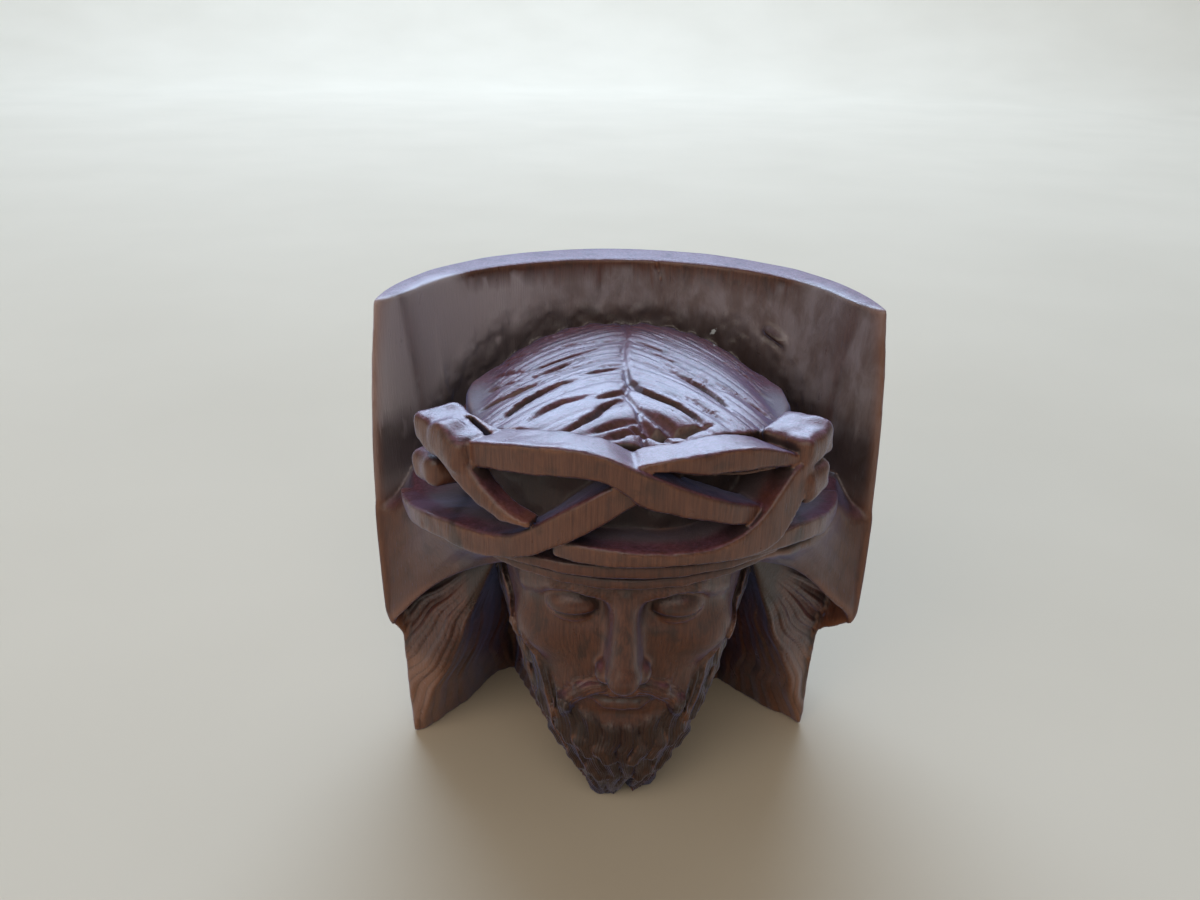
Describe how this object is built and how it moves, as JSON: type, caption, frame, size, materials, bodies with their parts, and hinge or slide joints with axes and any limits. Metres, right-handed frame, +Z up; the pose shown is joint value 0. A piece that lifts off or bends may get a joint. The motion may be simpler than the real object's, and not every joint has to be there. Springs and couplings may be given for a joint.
{
  "type": "carved wooden head of Christ",
  "caption": "Small one-piece wood carving: a bearded head with a crown of interlaced thorn branches and long side hair, in front of a curved wall left from the round log.",
  "frame": {"origin": "middle of the footprint box, at the level of the table", "axes": "+Z up along the log and its grain, +X to the viewer's right, the face looks along -Y"},
  "size_m": [0.0832, 0.0748, 0.082],
  "materials": {
    "stained_wood": "satin"
  },
  "bodies": {
    "root": {"carved_head": "stained_wood"}
  },
  "joints": []
}
